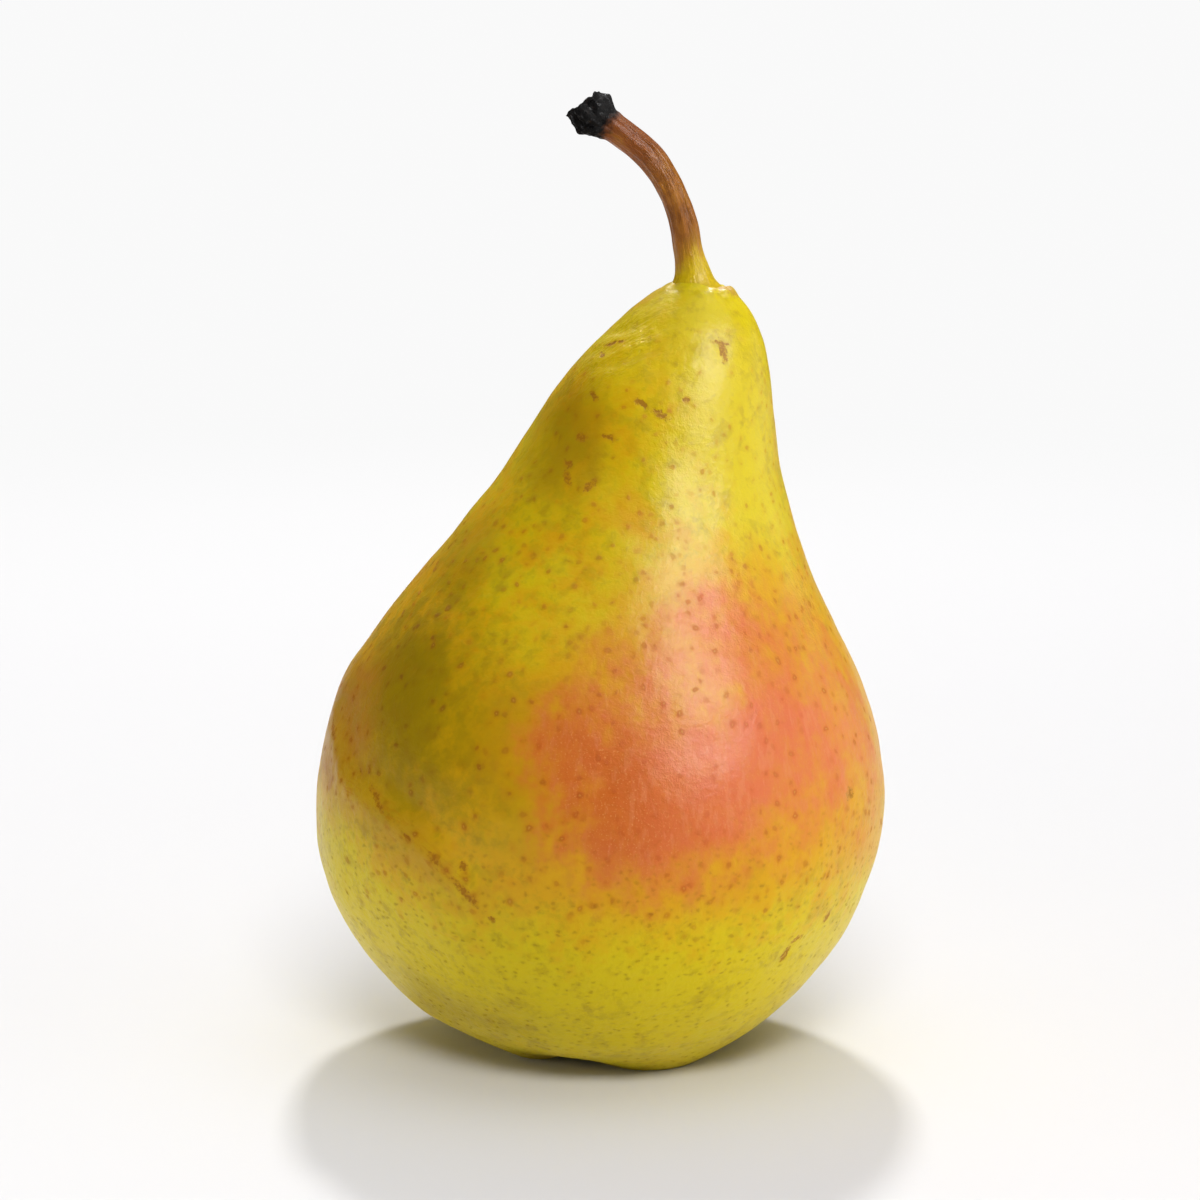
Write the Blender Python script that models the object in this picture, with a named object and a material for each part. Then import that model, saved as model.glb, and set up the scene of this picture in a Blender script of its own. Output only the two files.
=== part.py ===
"""A ripe pear standing on its blossom end: flesh body, woody stem, and the dried calyx under it.

Lengths are in millimetres until they enter a mesh, where MM turns them into metres.
+Z is up and -Y is the front. Angles are in degrees about +Z, counted from +X, so the front is -90.
The origin lies on the ground under the middle of the pear's box.
"""
import math

import bmesh
import bpy
import numpy as np
from mathutils import Matrix, Vector

MM = 0.001

# Body outline, from the rim of the stem pocket down the outside, under the base and up the basin:
# height above the ground, radius of the slice, sideways lean of the slice's centre towards +X.
OUTLINE = [
    (94.8, 2.5, 11.4),
    (93.4, 5.6, 11.4),
    (90.6, 8.5, 10.7),
    (86.0, 11.7, 9.0),
    (78.0, 14.9, 6.6),
    (70.0, 18.2, 4.4),
    (61.0, 23.3, 2.2),
    (50.0, 30.1, 0.5),
    (41.0, 33.9, 0.0),
    (31.0, 35.2, -0.2),
    (20.5, 33.4, -0.6),
    (11.0, 27.8, -0.2),
    (4.5, 21.2, 0.4),
    (1.0, 14.7, 1.8),
    (0.0, 11.0, 1.9),
    (0.8, 8.6, 1.9),
    (3.4, 5.6, 1.8),
    (5.0, 3.0, 1.7),
]
STEPS_PER_STATION = 3
POINTS_AROUND = 48
FRONT_TO_BACK = 0.985

# Stem pocket in the top of the neck and the floor of the calyx basin
POCKET_RADIUS = 2.5
POCKET_FLOOR = 91.9
TOP_LEAN = 11.4
BASIN_FLOOR = 5.2
BASE_LEAN = 1.7

# Base lobes that the pear stands on: direction, drop, sharpness (a higher one is narrower)
LOBES = [
    (-62, 3.0, 4.5),
    (0, 1.8, 7.0),
    (76, 2.15, 9.0),
    (158, 2.15, 9.0),
    (-148, 2.6, 12.0),
]
LOBE_LIFT = 1.9
LOBE_RADIUS = 11.5
LOBE_WIDTH = 6.0
LOBE_TOP = 20.0

# Waviness of the belly: waves around, share of the radius, phase
BELLY_WAVES = [(2, 0.004, 34), (3, 0.005, -52), (5, 0.004, 350)]
BELLY_HEIGHT = 25.0
BELLY_SPREAD = 30.0

# A flatter cheek low on the front left: direction, elevation, distance from the belly's centre, softness
CHEEK_AZIMUTH = -138
CHEEK_ELEVATION = -28
CHEEK_DISTANCE = 34.3
CHEEK_SOFTNESS = 1.2
CHEEK_DEPTH = 0.8
CHEEK_CENTRE = np.array([0.0, 0.0, 33.0])

# Stem centre line from the pocket to the dried end: sideways, depth, height, radius
STEM = [
    (11.4, 0.0, 92.2, 2.2),
    (11.4, 0.0, 94.9, 2.2),
    (11.0, -0.1, 96.9, 1.93),
    (10.7, -0.2, 99.5, 1.74),
    (10.3, -0.4, 102.0, 1.72),
    (9.5, -0.6, 104.6, 1.62),
    (8.4, -0.8, 107.1, 1.6),
    (6.9, -0.9, 109.6, 1.65),
    (5.6, -0.8, 111.1, 1.7),
    (4.1, -0.6, 112.3, 1.72),
    (2.5, -0.4, 113.5, 1.76),
    (1.3, -0.2, 114.2, 1.85),
    (-0.8, 0.0, 115.7, 2.7),
    (-1.9, 0.1, 117.2, 2.3),
]
STEM_SIDES_RESOLUTION = 4
STEM_STEPS = 3

# Calyx: five sepals that lie along the basin wall, and the stamens' tuft between them
SEPAL_COUNT = 5
SEPAL_FIRST_ANGLE = 14
SEPAL_LENGTHS = [4.9, 4.3, 5.1, 4.0, 4.6]
SEPAL_ROOT = 2.0
SEPAL_HALF_WIDTH = 0.95
SEPAL_TIP_WIDTH = 0.12
SEPAL_THICKNESS = 0.45
SEPAL_WALL_GAP = 0.75
SEPAL_DROOP = 0.5
SEPAL_CUP = 0.15
SEPAL_ROWS = 8
SEPAL_COLUMNS = 5
TUFT_RADIUS = 1.2
TUFT_FLATNESS = 0.6
TUFT_FILAMENT = 1.2
TUFT_FILAMENT_TAPER = 0.35
WALL_GAP = 0.3


def natural_cubic(knots, values, samples):
    """Values at the samples, on the cubic through the knots that has no bend at its two ends."""
    span = np.diff(knots)
    slope = np.diff(values, axis=0) / span[:, None]
    system = np.eye(len(knots))
    right = np.zeros_like(values)
    for i in range(1, len(knots) - 1):
        system[i, i - 1:i + 2] = (span[i - 1], 2 * (span[i - 1] + span[i]), span[i])
        right[i] = 6 * (slope[i] - slope[i - 1])
    bend = np.linalg.solve(system, right)
    cell = np.clip(np.searchsorted(knots, samples, side="right") - 1, 0, len(span) - 1)
    t = (samples - knots[cell])[:, None]
    width = span[cell][:, None]
    start = slope[cell] - width * (2 * bend[cell] + bend[cell + 1]) / 6
    return values[cell] + t * start + t**2 * bend[cell] / 2 + t**3 * (bend[cell + 1] - bend[cell]) / (6 * width)


def outline_rows():
    """Height, radius and lean of each slice, three slices for every span of the outline."""
    stations = np.array(OUTLINE)
    steps = np.hypot(np.diff(stations[:, 0]), np.diff(stations[:, 1]))
    knots = np.concatenate([[0.0], np.cumsum(steps)])
    count = STEPS_PER_STATION * (len(stations) - 1) + 1
    samples = np.interp(np.linspace(0, len(knots) - 1, count), np.arange(len(knots)), knots)
    return natural_cubic(knots, stations, samples)


def base_lift(radius, angle):
    """How far the base stands above its outline: least on the lobes, most in the valleys between."""
    lobes = sum(drop * np.exp(sharp * (np.cos(angle - math.radians(toward)) - 1)) for toward, drop, sharp in LOBES)
    return (LOBE_LIFT - lobes) * np.exp(-((radius - LOBE_RADIUS) / LOBE_WIDTH) ** 2)


def flatten_cheek(points):
    """Points that stand proud of the cheek's plane, drawn back most of the way to it."""
    azimuth = math.radians(CHEEK_AZIMUTH)
    elevation = math.radians(CHEEK_ELEVATION)
    flat = math.cos(elevation)
    normal = np.array([flat * math.cos(azimuth), flat * math.sin(azimuth), math.sin(elevation)])
    proud = (points - CHEEK_CENTRE) @ normal - CHEEK_DISTANCE
    soft = CHEEK_SOFTNESS * np.logaddexp(0, proud / CHEEK_SOFTNESS)
    return points - CHEEK_DEPTH * soft[..., None] * normal


def body_rings():
    """The rings of points of the outside, in millimetres, from the stem pocket to the basin."""
    height, radius, lean = (column[:, None] for column in outline_rows().T)
    angle = np.linspace(0, 2 * math.pi, POINTS_AROUND, endpoint=False)[None, :]
    belly = np.exp(-((height - BELLY_HEIGHT) / BELLY_SPREAD) ** 2)
    wave = sum(share * np.cos(count * angle + math.radians(phase)) for count, share, phase in BELLY_WAVES)
    reach = radius * (1 + belly * wave)
    x = lean + reach * np.cos(angle)
    y = FRONT_TO_BACK * reach * np.sin(angle)
    z = height + np.where(height < LOBE_TOP, base_lift(radius, angle), 0.0)
    points = flatten_cheek(np.stack([x, y, z], axis=-1))
    points[..., 2] = np.maximum(points[..., 2], 0.0)
    return points


def basin_wall(reach, angle):
    """Height of the calyx basin's wall above the ground, at a distance and direction from its axis."""
    rows = outline_rows()
    lowest = int(np.argmin(rows[:, 0]))
    radii = np.concatenate([[0.0], rows[lowest:, 1][::-1]])
    heights = np.concatenate([[BASIN_FLOOR], rows[lowest:, 0][::-1]])
    return np.interp(reach, radii, heights) + base_lift(reach, angle)


def principled(name, colour, roughness, metallic=0.0):
    material = bpy.data.materials.new(name)
    material.use_nodes = True
    shader = material.node_tree.nodes["Principled BSDF"]
    shader.inputs["Base Color"].default_value = (*colour, 1.0)
    shader.inputs["Roughness"].default_value = roughness
    shader.inputs["Metallic"].default_value = metallic
    material.diffuse_color = (*colour, 1.0)
    return material


def place(name, data, material, parent):
    part = bpy.data.objects.new(name, data)
    bpy.context.scene.collection.objects.link(part)
    part.parent = parent
    data.materials.append(material)
    return part


def mesh_from(bm, name, sharp_degrees):
    """A mesh from the bmesh, faces out and shaded smooth up to the given edge angle."""
    bmesh.ops.recalc_face_normals(bm, faces=bm.faces[:])
    mesh = bpy.data.meshes.new(name)
    bm.to_mesh(mesh)
    bm.free()
    mesh.shade_smooth()
    mesh.set_sharp_from_angle(angle=math.radians(sharp_degrees))
    return mesh


def bridge(bm, upper, lower):
    """A band of quads between two rings of the same number of points."""
    for i, point in enumerate(upper):
        after = (i + 1) % len(upper)
        bm.faces.new((point, lower[i], lower[after], upper[after]))


def fan(bm, ring, centre):
    """A cap of triangles from a ring to one point."""
    for i, point in enumerate(ring):
        bm.faces.new((point, ring[(i + 1) % len(ring)], centre))


def make_body(rings, parent):
    """The flesh: the outside's rings, closed by the stem pocket above and the basin's floor below."""
    bm = bmesh.new()
    bands = [[bm.verts.new(point * MM) for point in ring] for ring in rings]
    for upper, lower in zip(bands, bands[1:]):
        bridge(bm, upper, lower)
    pocket_wall = rings[0].copy()
    pocket_wall[:, 2] = POCKET_FLOOR
    pocket = [bm.verts.new(point * MM) for point in pocket_wall]
    bridge(bm, pocket, bands[0])
    fan(bm, pocket, bm.verts.new(Vector((TOP_LEAN, 0, POCKET_FLOOR)) * MM))
    fan(bm, bands[-1], bm.verts.new(Vector((BASE_LEAN, 0, BASIN_FLOOR)) * MM))
    skin = principled("yellow_green_skin", (0.62, 0.50, 0.06), 0.38)
    return place("pear_body", mesh_from(bm, "pear_body", 50), skin, parent)


def make_stem(parent):
    """The woody stem: a round tube along a curved line, thicker at its foot and its dried end."""
    curve = bpy.data.curves.new("stem", "CURVE")
    curve.dimensions = "3D"
    curve.bevel_depth = MM
    curve.bevel_resolution = STEM_SIDES_RESOLUTION
    curve.resolution_u = STEM_STEPS
    curve.use_fill_caps = True
    line = curve.splines.new("BEZIER")
    line.bezier_points.add(len(STEM) - 1)
    for knot, (x, y, z, radius) in zip(line.bezier_points, STEM):
        knot.co = Vector((x, y, z)) * MM
        knot.radius = radius
        knot.handle_left_type = "AUTO"
        knot.handle_right_type = "AUTO"
    bark = principled("brown_stem", (0.26, 0.12, 0.03), 0.45)
    return place("stem", curve, bark, parent)


def make_sepal(number, parent):
    """One dried sepal: a pointed strip along the basin wall, cupped across and drooping at its tip."""
    length = SEPAL_LENGTHS[number]
    toward = math.radians(SEPAL_FIRST_ANGLE + number * 360 / SEPAL_COUNT)
    along = np.linspace(0, 1, SEPAL_ROWS)[:, None]
    across = np.linspace(-1, 1, SEPAL_COLUMNS)[None, :]
    half = SEPAL_TIP_WIDTH + (SEPAL_HALF_WIDTH - SEPAL_TIP_WIDTH) * np.sqrt(1 - along**2)
    forward = SEPAL_ROOT + length * along + 0 * across
    sideways = half * across
    reach = np.hypot(forward, sideways)
    angle = toward + np.arctan2(sideways, forward)
    droop = SEPAL_WALL_GAP + SEPAL_DROOP * along**2 - SEPAL_CUP * across**2
    z = basin_wall(reach, angle) - droop
    x = BASE_LEAN + reach * np.cos(angle)
    y = reach * np.sin(angle)
    bm = bmesh.new()
    rows = [[bm.verts.new(point * MM) for point in row] for row in np.stack([x, y, z], axis=-1)]
    for near, far in zip(rows, rows[1:]):
        for i in range(SEPAL_COLUMNS - 1):
            bm.faces.new((near[i], far[i], far[i + 1], near[i + 1]))
    name = f"sepal_{number + 1}"
    dry = principled(f"{name}_dried", (0.12, 0.06, 0.03), 0.75)
    sepal = place(name, mesh_from(bm, name, 50), dry, parent)
    wall = sepal.modifiers.new("thickness", "SOLIDIFY")
    wall.thickness = SEPAL_THICKNESS * MM
    wall.offset = 0.0
    return sepal


def make_tuft(parent):
    """The dried stamens: a low dome under the basin's floor with every third facet drawn out downwards."""
    bm = bmesh.new()
    bmesh.ops.create_icosphere(bm, subdivisions=2, radius=TUFT_RADIUS * MM)
    lower = [face for face in bm.faces if face.normal.z < -0.25]
    chosen = lower[::3]
    outward = [face.normal.copy() for face in chosen]
    drawn = bmesh.ops.extrude_discrete_faces(bm, faces=chosen)["faces"]
    for face, direction in zip(drawn, outward):
        middle = face.calc_center_median()
        bmesh.ops.translate(bm, verts=face.verts, vec=direction * TUFT_FILAMENT * MM)
        middle = middle + direction * TUFT_FILAMENT * MM
        bmesh.ops.scale(bm, verts=face.verts, vec=(TUFT_FILAMENT_TAPER,) * 3, space=Matrix.Translation(-middle))
    bmesh.ops.scale(bm, verts=bm.verts, vec=(1, 1, TUFT_FLATNESS))
    centre = Vector((BASE_LEAN, 0, BASIN_FLOOR - WALL_GAP - TUFT_RADIUS * TUFT_FLATNESS)) * MM
    bmesh.ops.translate(bm, verts=bm.verts, vec=centre)
    dust = principled("dried_stamens", (0.09, 0.05, 0.03), 0.85)
    return place("stamen_tuft", mesh_from(bm, "stamen_tuft", 30), dust, parent)


def main():
    for old in list(bpy.data.objects):
        bpy.data.objects.remove(old, do_unlink=True)
    rings = body_rings()
    lowest = rings.reshape(-1, 3).min(axis=0)
    highest = rings.reshape(-1, 3).max(axis=0)
    ground = bpy.data.objects.new("ground_point", None)
    bpy.context.scene.collection.objects.link(ground)
    middle = (lowest + highest) / 2
    ground.location = (-middle[0] * MM, -middle[1] * MM, 0.0)
    make_body(rings, ground)
    make_stem(ground)
    for number in range(SEPAL_COUNT):
        make_sepal(number, ground)
    make_tuft(ground)


main()
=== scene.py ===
# A pear with a red blush, standing on its blossom end: its looks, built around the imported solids.
# Shapes are worked out in millimetres and turned into metres as they enter a mesh.
import math

import bpy
import numpy as np
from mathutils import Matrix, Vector


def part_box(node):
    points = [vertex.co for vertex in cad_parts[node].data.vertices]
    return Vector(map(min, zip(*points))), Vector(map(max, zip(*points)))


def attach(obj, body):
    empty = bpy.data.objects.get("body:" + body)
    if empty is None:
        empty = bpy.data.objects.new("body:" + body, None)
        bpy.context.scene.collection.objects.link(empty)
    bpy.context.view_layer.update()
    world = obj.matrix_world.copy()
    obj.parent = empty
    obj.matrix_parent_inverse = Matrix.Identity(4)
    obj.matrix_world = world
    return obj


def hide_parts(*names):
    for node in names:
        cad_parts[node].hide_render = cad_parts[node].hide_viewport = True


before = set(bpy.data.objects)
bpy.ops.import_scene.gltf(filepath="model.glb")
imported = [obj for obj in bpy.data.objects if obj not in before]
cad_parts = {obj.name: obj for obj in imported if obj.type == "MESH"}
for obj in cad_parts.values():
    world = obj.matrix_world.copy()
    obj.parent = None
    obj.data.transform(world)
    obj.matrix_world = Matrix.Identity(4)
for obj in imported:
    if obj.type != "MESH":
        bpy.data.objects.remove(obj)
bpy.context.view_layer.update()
mm = 0.001


# Shader arithmetic

class Wire:
    # A socket that takes part in sums: each operator adds one Math node to its tree.
    def __init__(self, tree, socket):
        self.tree = tree
        self.socket = socket

    def math(self, operation, *values):
        # One Math node on these values
        node = self.tree.nodes.new("ShaderNodeMath")
        node.operation = operation
        for slot, value in zip(node.inputs, values):
            join(self.tree, slot, value)
        return Wire(self.tree, node.outputs[0])

    def __add__(self, other):
        return self.math("ADD", self, other)

    def __sub__(self, other):
        return self.math("SUBTRACT", self, other)

    def __rsub__(self, other):
        return self.math("SUBTRACT", other, self)

    def __mul__(self, other):
        return self.math("MULTIPLY", self, other)

    def __truediv__(self, other):
        return self.math("DIVIDE", self, other)

    def most(self, other):
        return self.math("MAXIMUM", self, other)

    def exp(self):
        return self.math("EXPONENT", self)

    __radd__ = __add__
    __rmul__ = __mul__


def join(tree, slot, value):
    # A wire is linked, anything else is set on the socket.
    if isinstance(value, Wire):
        tree.links.new(value.socket, slot)
    elif hasattr(slot.default_value, "__len__") and len(slot.default_value) == 4:
        slot.default_value = (*value[:3], 1.0)
    else:
        slot.default_value = value


class Look:
    # The node tree of a material or a world in the making, with the few nodes that all looks use.
    def __init__(self, owner):
        owner.use_nodes = True
        self.owner = owner
        self.tree = owner.node_tree

    def node(self, kind, settings=None, sockets=None, output=0):
        # Any node: its type, its settings, its sockets' values or wires, and the output wanted from it
        node = self.tree.nodes.new(kind)
        for key, value in (settings or {}).items():
            setattr(node, key, value)
        for key, value in (sockets or {}).items():
            join(self.tree, node.inputs[key], value)
        return Wire(self.tree, node.outputs[output])

    def here(self):
        # Object coordinates, in millimetres
        place = self.node("ShaderNodeTexCoord", output="Object")
        return self.vector("SCALE", place, scale=1000)

    def attribute(self, name, output="Vector"):
        # Values that the piece's corners carry under a name
        return self.node("ShaderNodeAttribute", {"attribute_name": name}, output=output)

    def vector(self, operation, a, b=(0.0, 0.0, 0.0), scale=1.0, output=0):
        # One Vector Math node, on places or on colours
        sockets = {0: a, 1: b, 3: scale}
        return self.node("ShaderNodeVectorMath", {"operation": operation}, sockets, output)

    def parts(self, vector):
        # The three numbers of a vector or a colour
        split = self.node("ShaderNodeSeparateXYZ", None, {0: vector}).socket.node
        return [Wire(self.tree, socket) for socket in split.outputs]

    def noise(self, place, size, detail=3.0, roughness=0.55, output="Fac"):
        # Smooth noise of 0 to 1 whose lumps are about size across
        sockets = {"Vector": place, "Scale": 1 / size, "Detail": detail, "Roughness": roughness}
        return self.node("ShaderNodeTexNoise", {"normalize": True}, sockets, output)

    def cloud(self, place, size, detail=3.0):
        # Noise spread out to -1 to 1
        return self.ramp(self.noise(place, size, detail, 0.6), 0.3, 0.7, -1.0, 1.0)

    def ramp(self, value, low, high, start=0.0, end=1.0):
        # start up to low, end from high, and a smooth step between
        sockets = {"Value": value, 1: low, 2: high, 3: start, 4: end}
        return self.node("ShaderNodeMapRange", {"interpolation_type": "SMOOTHSTEP"}, sockets)

    def mix(self, share, a, b):
        # Colour a at a share of 0, colour b at 1
        return self.node("ShaderNodeMix", {"data_type": "RGBA"}, {0: share, 6: a, 7: b}, 2)

    def tinted(self, share, colour, tint):
        # The colour, multiplied by a tint as far as share goes
        return self.mix(share, colour, self.vector("MULTIPLY", colour, tint))

    def turned(self, place, angle):
        # The place, turned about the axis that points into the depth
        sockets = {"Vector": place, "Angle": angle}
        return self.node("ShaderNodeVectorRotate", {"rotation_type": "Y_AXIS"}, sockets)

    def warped(self, place, size, reach):
        # The place, pushed about by up to half of reach
        push = self.noise(place, size, 2.0, output="Color")
        push = self.vector("SUBTRACT", push, (0.5, 0.5, 0.5))
        return self.vector("ADD", place, self.vector("SCALE", push, scale=reach))

    def blob(self, place, centre, radii):
        # A soft ball: exp of minus the squared distance, counted in radii
        away = self.vector("DIVIDE", self.vector("SUBTRACT", place, centre), radii)
        away = self.vector("LENGTH", away, output="Value")
        return (0 - away * away).exp()

    def finish(self, height=None, depth=0.0, **sockets):
        # Sets the shader's sockets, named with underscores for spaces; height is a bump in millimetres and
        # depth the share of it that shows
        if height is not None:
            bump = {"Height": height, "Strength": depth, "Distance": mm}
            sockets["Normal"] = self.node("ShaderNodeBump", None, bump)
        for key, value in sockets.items():
            join(self.tree, self.tree.nodes["Principled BSDF"].inputs[key.replace("_", " ")], value)
        return self.owner


# Surfaces on a grid

def naturalCubic(knots, values, samples):
    # Values at the samples, on the cubic through the knots that has no bend at its two ends
    span = np.diff(knots)
    slope = np.diff(values, axis=0) / span[:, None]
    system = np.eye(len(knots))
    right = np.zeros_like(values)
    for i in range(1, len(knots) - 1):
        system[i, i - 1:i + 2] = (span[i - 1], 2 * (span[i - 1] + span[i]), span[i])
        right[i] = 6 * (slope[i] - slope[i - 1])
    bend = np.linalg.solve(system, right)
    cell = np.clip(np.searchsorted(knots, samples, side="right") - 1, 0, len(span) - 1)
    t = (samples - knots[cell])[:, None]
    width = span[cell][:, None]
    start = slope[cell] - width * (2 * bend[cell] + bend[cell + 1]) / 6
    curve = (bend[cell + 1] - bend[cell]) / (6 * width)
    return values[cell] + t * start + t**2 * bend[cell] / 2 + t**3 * curve


def lumps(points, size, seed, waves=28):
    # Smooth unevenness of about -1 to 1: the sum of cosine waves about size long, in random directions
    draw = np.random.default_rng(seed)
    way = draw.normal(size=(3, waves))
    way *= draw.uniform(0.7, 1.4, waves) * 2 * math.pi / size / np.linalg.norm(way, axis=0)
    phase = draw.uniform(0, 2 * math.pi, waves)
    return np.cos(points @ way + phase).sum(axis=-1) / math.sqrt(waves)


def lumpy(points, layers):
    # The sum of some layers of lumps, each with its height, size and seed
    return sum(height * lumps(points, size, seed) for height, size, seed in layers)


def softStep(value, low, high):
    # 0 up to low, 1 from high, and a smooth step between
    t = np.clip((value - low) / (high - low), 0, 1)
    return t * t * (3 - 2 * t)


def outward(points):
    # Unit normals of a grid whose columns run round the piece: across the columns, crossed with down the rows
    around = np.roll(points, -1, axis=1) - np.roll(points, 1, axis=1)
    down = np.gradient(points, axis=0)
    normal = np.cross(down, around)
    return normal / np.maximum(np.linalg.norm(normal, axis=-1, keepdims=True), 1e-9)


def fromLine(points, line):
    # Distance to a line of points, the way from it and the run along it, taken at the nearest of its pieces
    best = np.full(points.shape[:-1], np.inf)
    way = np.zeros_like(points)
    along = np.zeros_like(best)
    passed = 0.0
    for a, b in zip(line, line[1:]):
        a, b = np.array(a), np.array(b)
        step = np.linalg.norm(b - a)
        share = np.clip((points - a) @ (b - a) / step**2, 0, 1)
        gap = points - (a + share[..., None] * (b - a))
        length = np.linalg.norm(gap, axis=-1)
        nearer = length < best
        way = np.where(nearer[..., None], gap, way)
        along = np.where(nearer, passed + share * step, along)
        best = np.minimum(best, length)
        passed += step
    return best, way, along


def tubeShape(points):
    # Corners of a grid of rings, its quads, and a fan of triangles at each end ring's middle
    rows, columns = points.shape[:2]
    ends = np.stack([points[0].mean(axis=0), points[-1].mean(axis=0)])
    corners = np.concatenate([points.reshape(-1, 3), ends]) * mm
    number = np.arange(rows * columns).reshape(rows, columns)
    after = np.roll(number, -1, axis=1)
    quads = np.stack([number[:-1], number[1:], after[1:], after[:-1]], axis=-1).reshape(-1, 4)
    first, last = rows * columns, rows * columns + 1
    top = np.stack([number[0], after[0], np.full(columns, first)], axis=-1)
    bottom = np.stack([after[-1], number[-1], np.full(columns, last)], axis=-1)
    return corners, quads, np.concatenate([top, bottom])


def closedTubes(name, grids, attributes=None):
    # One smooth mesh of closed tubes, each from a grid of rings in millimetres; a lone grid may carry values
    # for its corners, and each end's middle takes the mean of its ring
    mesh = bpy.data.meshes.new(name)
    corners, faces, base = [], [], 0
    for points in grids:
        own, quads, fans = tubeShape(points)
        corners.append(own)
        faces += (quads + base).tolist() + (fans + base).tolist()
        base += len(own)
    mesh.from_pydata(np.concatenate(corners).tolist(), [], faces)
    for key, values in (attributes or {}).items():
        rows, columns = values.shape[:2]
        values = values.reshape(rows * columns, -1)
        ends = np.stack([values[:columns].mean(axis=0), values[-columns:].mean(axis=0)])
        values = np.concatenate([values, ends])
        kind, field = ("FLOAT", "value") if values.shape[1] == 1 else ("FLOAT_VECTOR", "vector")
        mesh.attributes.new(key, kind, "POINT").data.foreach_set(field, values.astype(np.float32).ravel())
    mesh.shade_smooth()
    return mesh


def addPiece(name, mesh, material, node):
    # A piece that rides on the root body, takes a material slot and stands in for one solid
    piece = bpy.data.objects.new(name, mesh)
    bpy.context.scene.collection.objects.link(piece)
    mesh.materials.append(material)
    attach(piece, "root")
    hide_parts(node)


# The flesh and its skin

pear = {
    # height, radius and sideways lean of each slice, from the neck's top down and up the basin
    "outline": [
        (94.75, 0.0, 11.4), (94.8, 2.5, 11.4), (93.4, 5.6, 11.4), (90.6, 8.5, 10.7), (86.0, 11.7, 9.0),
        (78.0, 14.9, 6.6), (70.0, 18.2, 4.4), (61.0, 23.3, 2.2), (50.0, 30.1, 0.5), (41.0, 33.9, 0.0),
        (31.0, 35.2, -0.2), (20.5, 33.4, -0.6), (11.0, 27.8, -0.2), (4.5, 21.2, 0.4), (1.0, 14.7, 1.8),
        (0.0, 11.0, 1.9), (0.8, 8.6, 1.9), (3.4, 5.6, 1.8), (5.0, 3.0, 1.7), (5.2, 0.0, 1.7),
    ],
    "frontToBack": 0.985,
    # base lobes: direction in degrees, drop, sharpness
    "lobes": [(-62, 3.0, 4.5), (0, 1.8, 7.0), (76, 2.15, 9.0), (158, 2.15, 9.0), (-148, 2.6, 12.0)],
    "lobeLift": 1.9, "lobeRadius": 11.5, "lobeWidth": 6.0, "lobeTop": 20.0,
    # belly waves: how many around, share of the radius, phase in degrees
    "waves": [(2, 0.004, 34), (3, 0.005, -52), (5, 0.004, 350)],
    "bellyHeight": 25.0, "bellySpread": 30.0,
    # flatter cheek: direction, elevation, distance, softness, depth
    "cheek": (-138, -28, 34.3, 1.2, 0.8), "cheekCentre": (0.0, 0.0, 33.0),
    "rows": 236, "columns": 400, "grainRadius": 25,
    # lumps over the whole skin: height, size, seed
    "lumps": [(0.16, 21, 3), (0.07, 9, 4), (0.016, 3.2, 5)],
    # a long scuffed ridge across the front left
    "ridge": [(-33.5, -4.0, 43.0), (-32.3, -10.2, 40.7), (-30.6, -16.5, 36.6), (-26.7, -22.2, 35.6),
              (-23.4, -25.8, 33.4), (-18.6, -29.3, 29.6), (-14.0, -31.3, 25.7), (-9.0, -32.5, 23.0)],
    "ridgeHeight": 0.14, "ridgeWidth": 1.6,
    "hollowDepth": 0.95, "hollowReach": 10, "hollowSide": (0.5, 0.1, 0.86),
    "wrinkleHeight": 0.2, "wrinklePlace": (2.5, 89), "wrinkleReach": (6.5, 4.0),
    # the skin drawn up the stem's foot, and a lip and a crease beside it: direction in radians
    "stemFoot": (11.4, 0.0, 94.8), "collarHeight": 0.75, "collarRadius": 2.4,
    "lipToward": -0.28, "lipHeight": 0.5, "lipRadius": 4.4, "creaseDepth": 0.45, "creaseRadius": 3.1,
    "basinMiddle": 1.8, "foldCount": 10, "foldHeight": 0.22,
    # small dents: place, radius, depth
    "dents": [
        (14.5, -8.9, 88.4, 1.2, 0.16), (6.1, -13.3, 81.5, 1.6, 0.1), (29.9, -17.3, 35.7, 0.9, 0.15),
        (22.1, -21.8, 17.2, 1.3, 0.12), (-15.7, -30.7, 27.1, 1.2, 0.15), (-26.4, -22.4, 36.2, 1.3, 0.2),
    ],
}


def outlineRows():
    # Slices along the outline, closer together at the neck's top and at the base
    stations = np.array(pear["outline"])
    steps = np.hypot(np.diff(stations[:, 0]), np.diff(stations[:, 1]))
    knots = np.concatenate([[0.0], np.cumsum(steps)])
    fine = np.linspace(0, knots[-1], 4000)
    density = 1 + 2.2 * np.exp(-(fine / 14) ** 2) + 0.6 * softStep(fine, knots[-1] - 34, knots[-1] - 16)
    share = np.cumsum(density)
    samples = np.interp(np.linspace(share[0], share[-1], pear["rows"]), share, fine)
    return naturalCubic(knots, stations, samples), samples


def baseLift(radius, angle):
    # How far the base stands above its outline: least on the lobes, most in the valleys between
    lobes = sum(drop * np.exp(sharp * (np.cos(angle - math.radians(heading)) - 1))
                for heading, drop, sharp in pear["lobes"])
    return (pear["lobeLift"] - lobes) * np.exp(-((radius - pear["lobeRadius"]) / pear["lobeWidth"]) ** 2)


def flattenCheek(points):
    # Points that stand proud of the cheek's plane, drawn back most of the way to it
    heading, up, distance, softness, depth = pear["cheek"]
    heading, up = math.radians(heading), math.radians(up)
    normal = np.array([math.cos(up) * math.cos(heading), math.cos(up) * math.sin(heading), math.sin(up)])
    proud = (points - np.array(pear["cheekCentre"])) @ normal - distance
    return points - depth * softness * np.logaddexp(0, proud / softness)[..., None] * normal


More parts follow.
